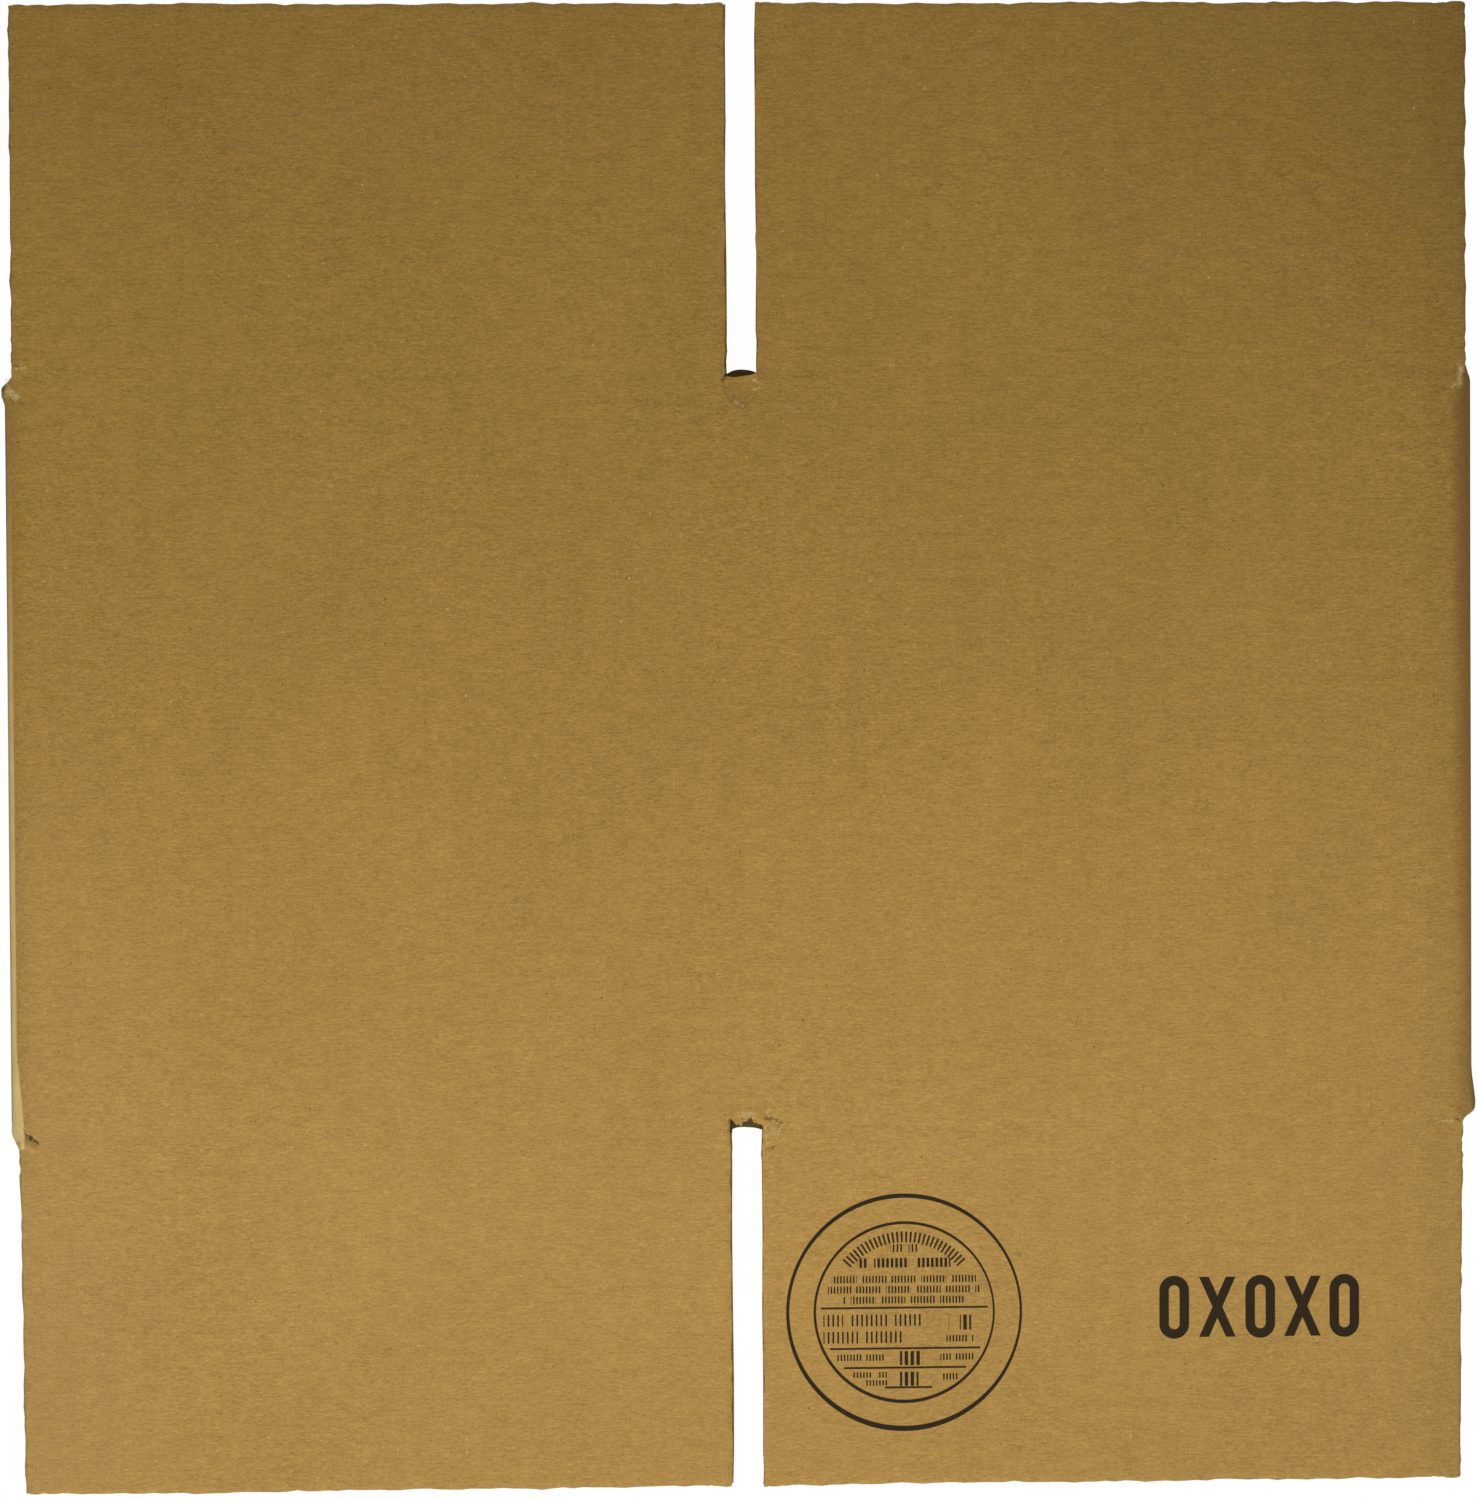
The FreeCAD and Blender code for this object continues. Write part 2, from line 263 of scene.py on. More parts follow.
crown_height = 0.045
press_depth, press_half = 0.09, 1.5
end_crush, slot_crush, side_crush = (0.22, 0.7), (0.3, 0.7), (0.35, 1.1)
tongue_depth, tongue_rim = 0.4, 0.22
arch_height = 0.3


def relief(x, y, marks=True):
    # how far the sheet stands off its flat place, in millimetres
    crown = crown_height * np.cos((x - first_crest) * 2 * math.pi / pitch)
    sway = 0.07 * np.sin(x / 41 + 1) * np.sin(y / 53 + 0.4) + 0.05 * np.sin(x / 17 + y / 29)
    wobble = 0.5 * np.sin(x / 23) + 0.3 * np.sin(x / 7 + 2)
    press = gauss(np.abs(y) - score - wobble, press_half)
    press = press * (1 - soft_step(np.abs(x), bend_start - 2, bend_start + 2))
    lift = crown + sway - press_depth * press
    # the knife crushes the board beside its cuts
    in_flap = np.abs(y) > score
    beside = gauss(flap_side - np.abs(x), side_crush[1])
    beside = beside * soft_step(np.abs(y), score + 1, score + 5)
    lift = lift - end_crush[0] * gauss(half_height - np.abs(y), end_crush[1])
    lift = lift - slot_crush[0] * gauss(np.abs(x) - slot_half, slot_crush[1]) * in_flap
    lift = lift - side_crush[0] * beside
    if not marks:
        return lift
    # the pressed tongue under the upper slot, with its rounded rim
    tongue = np.sqrt(((x + 0.3) / 3.9) ** 2 + ((y - 78.5) / 6.6) ** 2)
    below = y < upper_slot_end + 0.3
    pressed = (1 - soft_step(tongue, 0.86, 1.02)) * soft_step(-y, -79.6, -75)
    lift = lift - tongue_depth * pressed * below
    lift = lift + tongue_rim * gauss(tongue - 1.08, 0.09) * below * (y > 60)
    # the torn arch over the lower slot
    arch = np.sqrt(((x - 0.2) / 5.0) ** 2 + ((y + 79.6) / 3.6) ** 2)
    above = (y > lower_slot_end - 0.3) & (y < -60)
    lift = lift + arch_height * gauss(arch - 0.75, 0.25) * above
    # creases and dents, each (middle, angle, length, width, depth)
    for centre, angle, length, width, depth in (
        ((-3.6, 78.2), 62, 2.2, 0.35, 0.45), ((4.1, 77.3), -38, 2.0, 0.4, -0.35),
        ((3.3, 76.3), 20, 2.4, 0.35, -0.25), ((-1.6, 73.0), -38, 3.4, 0.3, -0.2),
        ((-4.6, -79.4), 70, 1.8, 0.4, 0.5), ((3.4, -78.0), 70, 2.6, 0.4, -0.45),
        ((6.4, -79.7), -22, 4.4, 0.35, 0.5), ((6.9, -81.3), 80, 2.6, 0.4, -0.3),
        ((5.0, -84.6), 22, 3.4, 0.3, 0.35), ((-7.2, -83.6), -12, 5.0, 0.5, -0.25),
        ((-5.6, -81.0), 75, 3.0, 0.4, -0.2), ((-150.7, -81.2), -33, 4.4, 0.5, 0.7),
        ((-151.2, -82.7), -25, 3.4, 0.8, -0.5),
        ((-151.8, 80.4), 5, 4.2, 0.45, -0.3), ((-151.8, 81.3), 5, 3.8, 0.4, 0.25),
        ((150.5, 79.9), 60, 3.4, 0.5, 0.35),
    ):
        lift = lift - depth * mark(x, y, centre, angle, length, width)
    return lift


outer_columns = mirrored(lines(
    0, (slot_half, 0.45), (9, 0.55), (145, 2.15), (bend_start, 0.8), (flap_side, 0.6),
    (bend_end, 1.05),
))
outer_rows = lines(
    -half_height, (-150.6, 0.6), (-89, 2.15), (lower_slot_end, 0.6), (-71, 0.6), (70, 2.15),
    (upper_slot_end, 0.6), (88, 0.6), (150.6, 2.15), (half_height, 0.6),
)
printed = Sheet(outer_columns, outer_rows, seed=1.3)
height = relief(printed.x, printed.across)
# where each fold swells out and tapers off, as (place along it, how far out)
left_fold = ((-80, 0), (72.8, 0), (73.8, 0.3), (74.8, 0.7), (76.4, 0.7), (77.6, 0))
right_fold = ((-80.4, 0), (-79, 0.4), (-78, 0.75), (-76.4, 0.85), (-74.2, 0.6), (-70, 0), (80, 0))
swell = np.where(
    printed.s < 0, np.interp(printed.y, *zip(*left_fold)), np.interp(printed.y, *zip(*right_fold))
)
swell = np.sign(printed.s) * swell * soft_step(np.abs(printed.s), bend_start + 2, bend_start + 6)
swelling = np.stack([swell, swell * 0, swell * 0], 2)
front_liner = closed_mesh(
    "front_liner",
    printed.face(middle, height) + swelling,
    printed.face(middle - paper_thick, height) + swelling,
    printed.keep, flip=False,
)


# The fluted sheet of the upper side: a wave of thinner paper glued between the two liners,
# one crest to a flute. It shows at the flaps' ends, where the knife has cut it across.

wave_steps = 8
medium_thick = 0.3
medium_half = medium_thick / 2 - 0.01
wave_half = (board - 2 * paper_thick - medium_thick) / 2
wave_fill = 0.97
wave_columns = sorted(
    set(lines(-pitch * flutes / 2, (-slot_half, pitch / wave_steps)))
    | set(lines(-slot_half, (slot_half, 0.9)))
    | set(lines(slot_half, (pitch * flutes / 2, pitch / wave_steps)))
    | {-flap_side, flap_side}
)
core_rows = lines(
    -half_height, (-150, 3), (-88, 15), (lower_slot_end, 1.4), (-74, 1.4), (72, 18),
    (upper_slot_end, 1.4), (88, 2.2), (150, 15), (half_height, 3),
)


def wave(name, seed, upper):
    # the fluted sheet of one side
    sheet = Sheet(wave_columns, core_rows, seed, upper)
    lift = relief(sheet.x, sheet.across, marks=upper)
    rise = wave_fill * wave_half * np.cos((sheet.x - first_crest) * 2 * math.pi / pitch)
    centre = middle - board / 2
    outer = sheet.face(centre + medium_half, rise + lift)
    inner = sheet.face(centre - medium_half, rise + lift)
    return closed_mesh(name, outer, inner, sheet.keep, flip=not upper)


front_flutes = wave("front_flutes", 1.3, True)


# The inner liner: the plain paper inside the box, which turns back tightly at each fold and
# lies against the flutes of both sides. The two sides are separate at the flaps.

lining_columns = mirrored(lines(
    0, (slot_half, 1), (145, 8), (bend_start, 2), (flap_side, 0.8), (bend_end, 1.3),
))
lining_radius = middle - board + paper_thick


def lining(name, seed, upper):
    # the inner liner of one side
    sheet = Sheet(lining_columns, core_rows, seed, upper)
    lift = relief(sheet.x, sheet.across, marks=upper)
    outer = sheet.face(lining_radius, lift)
    inner = sheet.face(lining_radius - paper_thick, lift)
    return closed_mesh(name, outer, inner, sheet.keep, flip=not upper)


front_lining = lining("front_lining", 1.3, True)


# The under side: the same three sheets again, mirrored, lying on the table. Its two panels
# meet at the middle, where the outer liner stops on each side of the glued joint.

seam_half = 0.8
back_columns = mirrored(lines(
    0, (slot_half, 0.9), (9, 1.5), (145, 4.5), (bend_start, 1.2), (flap_side, 0.8), (bend_end, 1.3),
))
back_rows = lines(
    -half_height, (-150.6, 1.2), (-89, 4.5), (lower_slot_end, 1), (-71, 1.3), (70, 4.5),
    (upper_slot_end, 1), (88, 1.2), (150.6, 4.5), (half_height, 1.2),
)
under = Sheet(back_columns, back_rows, seed=4.1, upper=False)
flat = np.minimum(relief(under.x, under.across, marks=False), 0)
seam = (np.abs(under.s) < seam_half) & (np.abs(under.y) < score)
seam_cells = seam[1:, 1:] & seam[:-1, :-1]
back_liner = closed_mesh(
    "back_liner",
    under.face(middle, flat),
    under.face(middle - paper_thick, flat),
    under.keep & ~seam_cells, flip=True,
)
back_flutes = wave("back_flutes", 4.1, False)
back_lining = lining("back_lining", 4.1, False)


# The glue tab: the end of the sheet, crushed thin, stepped in past the seam and stuck to the
# inside of the next panel. It stops short of the flaps and its ends are cut on a slant.

tab_reach = 33.0
tab_taper = 7.0
tab_root = 4.0
tab_short = 1.5
tab_straight = 1.5
tab_over, tab_under = 0.6, 0.95
tab_columns = lines(-tab_root, (0, 1), (tab_reach, 3))
tab_rows = lines(-1, (1, 0.1))
grid_x, share = np.meshgrid(np.array(tab_columns), np.array(tab_rows))
slant = np.clip(grid_x - tab_straight, 0, None) / (tab_reach - tab_straight)
tab_half = score - tab_short - tab_taper * slant
tab_top = np.full_like(grid_x, middle + tab_over)
tab_low = middle - tab_under - board * np.clip(-grid_x / tab_root, 0, 1)
glue_tab = closed_mesh(
    "glue_tab",
    np.stack([grid_x, share * tab_half, tab_top], 2),
    np.stack([grid_x, share * tab_half, tab_low], 2),
    np.ones((len(tab_rows) - 1, len(tab_columns) - 1), bool), flip=False,
)

for piece in (
    front_liner, front_flutes, front_lining, back_liner, back_flutes, back_lining, glue_tab,
):
    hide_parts("flat_box")


# The paper of all the sheets: brown, with fibres and faint clouds. The printed side has dark
# brown ink on one lower flap and is scuffed and cracked where the slots and the folds end, with
# painted shade in the cracks and painted highlights on their edges. Painted on it are a sheen
# towards its lower end, a pale highlight along the left fold, a reddish shade along the right fold,
# shade at the folds' rims, beside the cuts and towards the upper end, and faint shade across the
# flutes. Behind those ends the plain paper has painted shade.

kraft_warm, kraft_pale = (0.330, 0.187, 0.038), (0.370, 0.219, 0.052)
flute_warm, flute_pale = (0.30, 0.19, 0.065), (0.36, 0.24, 0.09)
torn_warm, torn_pale = (0.52, 0.37, 0.16), (0.62, 0.47, 0.24)
# painted shade for the hollows behind the slots' ends
slot_shade = (0.17, 0.14, 0.045, 1)
ink = (0.021, 0.0135, 0.0055, 1)
# a painted sheen, paler and greyer, for the lower end nearest the lamp
painted_sheen = (0.42, 0.28, 0.15, 1)
# a painted highlight for the left fold, which faces the lamp
lit_fold_pale = (0.72, 0.56, 0.24, 1)
# a reddish painted shade for the right fold, which faces away from the lamp
reddish = (0.20, 0.10, 0.030, 1)
rim_shade = (0.13, 0.11, 0.04, 1)
cut_shade = (0.13, 0.11, 0.035, 1)
dark_speck = (0.10, 0.055, 0.02, 1)
pale_speck = (*torn_pale, 1)
# pale torn fibre, with painted highlights where a raised edge faces the lamp
torn_fibre_and_highlight = (0.56, 0.42, 0.19)
# painted shade for cracks and creases
crevice_shade = (0.035, 0.022, 0.006)


class Value:
    # a number inside a material, written with ordinary signs

    def __init__(self, paint, socket):
        self.paint = paint
        self.socket = socket

    def to(self, kind, other=None, first=None):
        # one sum with this number, or with first in its place
        values = {0: self if first is None else first}
        if other is not None:
            values[1] = other
        made = self.paint.node("ShaderNodeMath", {"operation": kind}, values)
        return Value(self.paint, made.outputs[0])

    def __add__(self, other):
        return self.to("ADD", other)

    def __sub__(self, other):
        return self.to("SUBTRACT", other)

    def __mul__(self, other):
        return self.to("MULTIPLY", other)

    def __truediv__(self, other):
        return self.to("DIVIDE", other)

    def __rsub__(self, other):
        return self.to("SUBTRACT", self, first=other)

    def __lt__(self, other):
        return self.to("LESS_THAN", other)

    def __gt__(self, other):
        return self.to("GREATER_THAN", other)

    def __abs__(self):
        return self.to("ABSOLUTE")

    def least(self, other):
        return self.to("MINIMUM", other)

    def most(self, other):
        return self.to("MAXIMUM", other)

    __radd__ = __add__
    __rmul__ = __mul__


class Paint:
    # one material and what it is made from

    def __init__(self, name, roughness):
        self.material = bpy.data.materials.new(name)
        self.material.use_nodes = True
        self.tree = self.material.node_tree
        self.tree.nodes.clear()
        out = self.node("ShaderNodeOutputMaterial", {}, {})
        self.shader = self.node(
            "ShaderNodeBsdfPrincipled", {}, {"Roughness": roughness, "Specular IOR Level": 0.18},
        )
        self.tree.links.new(self.shader.outputs[0], out.inputs[0])
        metres = self.node("ShaderNodeTexCoord", {}, {}).outputs["Object"]
        millimetres = self.node(
            "ShaderNodeVectorMath", {"operation": "SCALE"}, {0: metres, "Scale": 1000.0},
        )
        self.place = millimetres.outputs[0]
        split = self.node("ShaderNodeSeparateXYZ", {}, {0: self.place})
        self.x, self.y, self.z = (Value(self, split.outputs[n]) for n in range(3))

    def node(self, kind, settings, values):
        made = self.tree.nodes.new(kind)
        for name, setting in settings.items():
            setattr(made, name, setting)
        for name, item in values.items():
            item = item.socket if isinstance(item, Value) else item
            if isinstance(item, bpy.types.NodeSocket):
                self.tree.links.new(item, made.inputs[name])
            else:
                made.inputs[name].default_value = item
        return made

    def speckle(self, scale, stretch=(1, 1, 1), detail=2.0, rough=0.5):
        # noise between 0 and 1, stretched along the axes; scale is in cells to the millimetre
        spot = self.node(
            "ShaderNodeVectorMath", {"operation": "MULTIPLY"}, {0: self.place, 1: stretch},
        )
        made = self.node(
            "ShaderNodeTexNoise", {},
            {"Vector": spot.outputs[0], "Scale": scale, "Detail": detail, "Roughness": rough},
        )
        return Value(self, made.outputs[0])

    def mix(self, share, first, second):
        made = self.node("ShaderNodeMix", {"data_type": "RGBA"}, {0: share, 6: first, 7: second})
        return made.outputs[2]

    def tint(self, colour, amount):
        # the colour made lighter or darker by a number about 1
        made = self.node(
            "ShaderNodeVectorMath", {"operation": "SCALE"}, {0: colour, "Scale": amount},
        )
        return made.outputs[0]

    def range(self, value, low, high):
        # 0 below low, 1 above high, smooth between
        made = self.node(
            "ShaderNodeMapRange", {"interpolation_type": "SMOOTHSTEP"},
            {"Value": value, "From Min": low, "From Max": high},
        )
        return Value(self, made.outputs[0])


def paper_colour(paint, warm, pale):
    # brown paper: cloudy, with fibres that lie across the flutes and a few specks
    cloud = paint.speckle(0.03, detail=3.0)
    patch = paint.speckle(0.30, (0.6, 1.3, 1), detail=3.0)
    streak = paint.speckle(0.9, (0.18, 1.5, 1), detail=3.0, rough=0.7)
    fibre = paint.speckle(1.3, (0.5, 1.7, 1), detail=4.0, rough=0.75)
    grain = paint.speckle(3.4, (0.7, 1.2, 1), detail=2.0)
    tone = cloud * 0.20 + patch * 0.30 + streak * 0.24 + fibre * 0.92 + grain * 0.92 - 0.29
    colour = paint.mix(paint.range(fibre + streak * 0.5, 0.45, 1.05), (*warm, 1), (*pale, 1))
    return paint.tint(colour, tone)


# where the painted shade behind the slots' ends lies
shade_middle, shade_half_x, shade_half_y = 79.5, 4.5, 2.6


def plain_paper(name, warm, pale):
    # unprinted paper of the board, with painted shade behind the slots' ends, darker at the lower
    # one
    paint = Paint(name, 0.9)
    # painted shade in the hollows behind both slots' ends, darker still at the lower one
    behind = (abs(paint.x) < shade_half_x) * (abs(abs(paint.y) - shade_middle) < shade_half_y)
    colour = paint.mix(behind * 0.72, paper_colour(paint, warm, pale), slot_shade)
    colour = paint.tint(colour, 1 - behind * (paint.y < 0) * 0.5)
    paint.tree.links.new(colour, paint.shader.inputs["Base Color"])
    return paint.material


print_soft = 0.12
stamp_x, stamp_y = 33.3, -119.9
outer_radius, inner_radius, arc_radius, arc_half = 24.75, 19.0, 16.0, 1.15
rule_half = 0.22
# the round mark's rules: middle x and y, half length
rules = (0.0, 0.95, 17.7), (0.1, -7.7, 16.0), (0.1, -11.8, 13.0), (0.8, -16.0, 5.0)
# its rows of strokes: middle x and y, half length, half height, distance and share of a stroke
stroke_rows = (
    (0, 13.6, 2.9, 0.85, 0.8, 0.45), (0, 10.5, 10.0, 1.0, 0.95, 0.6),
    (0, 7.0, 16.2, 0.75, 0.68, 0.5), (0, 4.8, 16.2, 0.75, 0.68, 0.5),
    (0, 2.6, 13.0, 0.75, 0.68, 0.5), (-6.6, -1.7, 10.6, 1.25, 1.02, 0.38),
    (-8.4, -5.3, 8.8, 1.25, 1.02, 0.38), (11.8, -2.3, 2.4, 1.6, 1.25, 0.6),
    (11.8, -5.7, 2.9, 0.7, 0.68, 0.5), (-9.6, -9.6, 5.2, 0.7, 0.68, 0.5),
    (1.4, -9.8, 2.4, 1.5, 1.25, 0.6), (11.2, -9.6, 3.6, 0.7, 0.68, 0.5),
    (-7.4, -13.3, 3.6, 0.6, 0.68, 0.5), (-6.2, -15.0, 2.8, 0.6, 0.68, 0.5),
    (1.4, -14.2, 2.4, 1.5, 1.25, 0.6), (9.4, -13.8, 1.9, 0.7, 0.68, 0.5),
)
mark_x, mark_y = 109.0, -119.5
oblong_places, oblong_radius, oblong_straight, oblong_stroke = (-18.3, 0.05, 18.0), 2.15, 3.55, 1.02
cross_places, cross_half, cross_stroke = (-9.1, 9.05), 6.4, 0.95


def printed_edge(paint, inside):
    # 1 where the distance inside a printed shape is above zero, with a slightly soft edge
    return paint.range(inside / print_soft, -0.5, 0.5)


def bar(paint, across, along, x, y, half_x, half_y):
    # 1 inside an upright rectangle
    dx = (abs(across - x) - half_x) / -print_soft
    dy = (abs(along - y) - half_y) / -print_soft
    return paint.range(dx.least(dy), -0.5, 0.5)


def words(paint, across, along, x, y, half_x, half_y, beat, weight):
    # a row of short upright strokes in place of a line of small print
    phase = (across / beat).to("FRACT")
    blank = (across / (beat * 9.3) + y * 0.37).to("FRACT")
    stroke = (phase < weight) * (blank > 0.16)
    return bar(paint, across, along, x, y, half_x, half_y) * stroke


def stamp(paint, u, v):
    # the round mark: two rings, four rules, and strokes where the small print stands
    radius = (u * u + v * v).to("SQRT")
    heavy = 0.305 + 0.22 * (v / 25) * (v / 25) - 0.055 * (v / 25) - 0.045 * (u / 25)
    outer_ring = printed_edge(paint, heavy - abs(radius - outer_radius))
    inner_ring = printed_edge(paint, heavy * 0.8 - abs(radius - inner_radius))
    marks = outer_ring.most(inner_ring)
    for x, y, half_x in rules:
        marks = marks.most(bar(paint, u, v, x, y, half_x, rule_half))
    for row in stroke_rows:
        marks = marks.most(words(paint, u, v, *row))
    turn = v.to("ARCTAN2", u)
    arc = (abs(radius - arc_radius) < arc_half) * (abs(turn - math.pi / 2) < 0.87)
    return marks.most(arc * ((turn * 17.0).to("FRACT") < 0.45))


def size_mark(paint, u, v):
    # three upright oblong rings with a cross between each two, in a bold stroke
    marks = None
    for x in oblong_places:
        reach = (abs(v) - oblong_straight).most(0)
        across = u - x
        distance = (across * across + reach * reach).to("SQRT")
        ring = printed_edge(paint, oblong_stroke - abs(distance - oblong_radius))
        marks = ring if marks is None else marks.most(ring)
    for x in cross_places:
        leg = abs(abs(u - x) * 0.9 - abs(v) * 0.40)
        cross = printed_edge(paint, cross_stroke - leg) * (abs(v) < cross_half)
        marks = marks.most(cross)
    return marks


# scuffs and cracks: x, y, angle, length, width, strength, colour; the dark lines are painted
# shade in the cracks, the pale ones are torn fibre with painted highlights on raised edges
scars = (
    (-150.7, -81.2, -33, 4.4, 0.42, 1.0, crevice_shade), (-152.4, -79.2, -60, 1.6, 0.25, 0.5, crevice_shade),
    (-151.6, -83.2, -30, 3.6, 0.6, 0.4, torn_fibre_and_highlight), (-153.6, -82.0, 78, 6.0, 0.9, 0.6, torn_fibre_and_highlight),
    (-151.9, 80.7, 5, 3.8, 0.35, 0.8, torn_fibre_and_highlight), (-154.2, 76.2, 80, 4.4, 0.9, 0.55, torn_fibre_and_highlight),
    (-152.9, 75.2, -45, 3.6, 0.9, 0.95, torn_fibre_and_highlight), (-155.0, 76.5, 88, 3.2, 0.5, 0.5, crevice_shade),
    (152.0, 77.6, 84, 5.4, 0.9, 0.75, torn_fibre_and_highlight), (150.6, 75.6, 50, 2.0, 0.5, 0.6, torn_fibre_and_highlight),
    (148.6, -80.4, 8, 4.6, 0.3, 0.6, torn_fibre_and_highlight),
    (151.4, -80.3, -50, 1.4, 0.3, 0.6, crevice_shade), (150.6, -77.4, -25, 3.2, 0.3, 0.35, crevice_shade),
    (-3.7, 77.9, 62, 1.9, 0.36, 0.9, crevice_shade), (-3.9, 79.0, 80, 1.3, 0.4, 0.6, torn_fibre_and_highlight),
    (-0.9, 72.5, -30, 2.6, 0.34, 0.8, torn_fibre_and_highlight), (-2.6, 74.2, -58, 2.6, 0.3, 0.6, torn_fibre_and_highlight),
    (1.9, 73.9, 48, 2.6, 0.3, 0.5, torn_fibre_and_highlight),
    (3.0, 77.0, -40, 2.0, 0.5, 0.9, torn_fibre_and_highlight), (2.6, 75.4, 25, 1.6, 0.4, 0.6, torn_fibre_and_highlight),
    (0.0, -77.6, 8, 5.4, 0.9, 0.3, torn_fibre_and_highlight), (4.6, -77.0, 75, 1.9, 0.35, 0.7, torn_fibre_and_highlight),
    (4.6, -78.6, -20, 2.4, 0.45, 0.7, crevice_shade), (6.6, -79.0, -28, 3.0, 0.35, 0.7, crevice_shade),
    (5.9, -80.9, 70, 3.0, 1.3, 0.3, torn_fibre_and_highlight), (7.5, -80.2, 60, 2.2, 0.35, 0.7, torn_fibre_and_highlight),
    (4.2, -82.9, 88, 2.8, 0.35, 0.6, torn_fibre_and_highlight), (-4.9, -82.6, 25, 1.6, 0.35, 0.6, torn_fibre_and_highlight),
    (-3.5, -79.0, 80, 1.2, 0.3, 0.7, crevice_shade), (4.4, -80.4, 85, 1.6, 0.45, 0.5, torn_fibre_and_highlight),
    (6.9, -81.4, 60, 1.6, 0.3, 0.5, torn_fibre_and_highlight), (5.2, -84.8, 22, 2.6, 0.22, 0.6, crevice_shade),
    (-5.2, -81.4, 70, 1.8, 0.3, 0.35, torn_fibre_and_highlight), (-6.6, -83.9, -10, 3.0, 0.3, 0.35, torn_fibre_and_highlight),
)


def scar(x, y, angle, length, width):
    # 1 along the middle of a short line, fading at its sides and its ends
    turn = math.radians(angle)
    along = x * math.cos(turn) + y * math.sin(turn)
    across = y * math.cos(turn) - x * math.sin(turn)
    inside = 1 - abs(across) / width
    return inside.least((1 - abs(along) / (length / 2)) * 2.5).most(0).least(1)


def painted_lighting(paint, colour):
    # painted light and shade over the paper's colour: a painted sheen towards the lower end, a pale
    # painted highlight along the left fold, a reddish painted shade along the right fold, painted
    # shade on each fold's rim and beside each cut, a painted fall-off of light towards the upper
    # end and the right, and faint painted shade across the flutes
    down = 0 - paint.y
    left = 0 - paint.x
    # a painted sheen towards the lower end, more at the lower left
    low = paint.range(down, -60.0, 120.0)
    sheen_share = low * 0.10 + paint.range(left, 110.0, 152.0) * low * 0.08
    colour = paint.mix(sheen_share, colour, painted_sheen)
    # a pale painted highlight along the lower part of the left fold
    strip_start = 153.3 - paint.range(down, 60.0, 82.0) * 1.5
    left_strip = paint.range(left - strip_start, 0.0, 0.5) * paint.range(down, -78.0, 10.0)
    cloudy = paint.speckle(0.5, (1, 0.35, 1), detail=3.0)
    left_strip = left_strip * (paint.y > -83.5) * (cloudy * 0.7 + 0.3)
    colour = paint.mix(left_strip, colour, lit_fold_pale)
    # a reddish painted shade along the right fold, strongest at its upper end
    right_strip = paint.range(paint.x, 149.4, 152.4) * (abs(paint.y) < score)
    right_strip = right_strip * (paint.range(paint.y, -70.0, 50.0) * 0.40 + 0.12)
    colour = paint.mix(right_strip, colour, reddish)
    # painted shade on each fold's rim
    fold_rim = paint.range(abs(paint.x), 154.3, 154.9) * (abs(paint.y) < score - 2)
    colour = paint.mix(fold_rim * 0.5, colour, rim_shade)
    # a thin painted shade line beside each cut
    inset = left_inset + (paint.x > 0) * (right_inset - left_inset)
    inset = inset + (down - score) / (half_height - score) * inset_growth
    flap_edge = flap_side - (paint.y < -score) * inset
    cut_line = paint.range(abs(paint.x) - flap_edge, -0.55, -0.1) * (abs(paint.y) > score + 2)
    colour = paint.mix(cut_line * 0.45, colour, cut_shade)
    # a painted fall-off of the lamp's light: brighter towards the lower end, darker at the right
    # edge, the upper right corner and the upper end, and faint painted shade across each flute
    middling = paint.range(down, -130.0, 85.0) * 0.175 - paint.range(down, 90.0, 150.0) * 0.08
    right_edge = 1 - paint.range(paint.x, 138.0, 152.0) * 0.08
    far_corner = 1 - paint.range(paint.y + paint.x, 190.0, 300.0) * 0.13
    far_end = 1 - paint.range(paint.y + abs(paint.x) * 0.35, 120.0, 215.0) * 0.10
    band = ((paint.x - first_crest) * (2 * math.pi / pitch)).to("COSINE") * 0.009 + 1
    return paint.tint(colour, band * right_edge * far_corner * far_end * (middling + 0.925))


